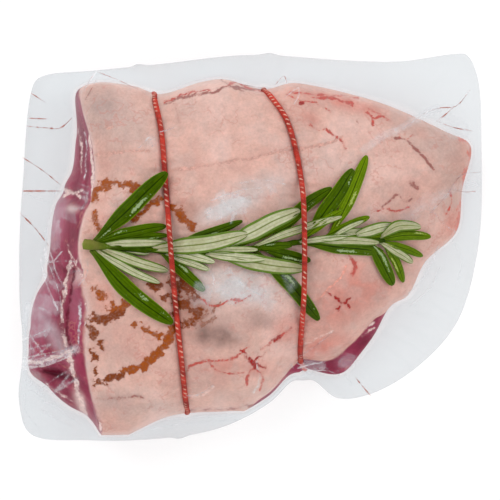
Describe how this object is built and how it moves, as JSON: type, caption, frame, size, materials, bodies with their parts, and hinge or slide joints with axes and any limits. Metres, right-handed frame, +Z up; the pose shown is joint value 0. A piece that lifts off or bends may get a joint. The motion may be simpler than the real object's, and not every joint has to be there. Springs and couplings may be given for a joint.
{
  "type": "roast lamb rump",
  "caption": "Raw tied lamb rump roasting joint with fat cap, butcher's twine and a rosemary sprig, sealed in a clear vacuum pack with a wide film flange; lies flat on its base.",
  "frame": {"origin": "middle of the pack's footprint on the surface it lies on", "axes": "+Z up through the fat cap, +X from the cut face to the thin end along the pack's length, +Y towards the pack's straight back edge"},
  "size_m": [0.1601, 0.1334, 0.048],
  "materials": {
    "lamb": "satin",
    "twine": "matte",
    "rosemary": "satin",
    "film": "clear gloss"
  },
  "bodies": {
    "root": {"lamb_rump": "lamb", "twine_left": "twine", "twine_right": "twine", "rosemary_sprig": "rosemary", "vacuum_bag": "film"}
  },
  "joints": []
}
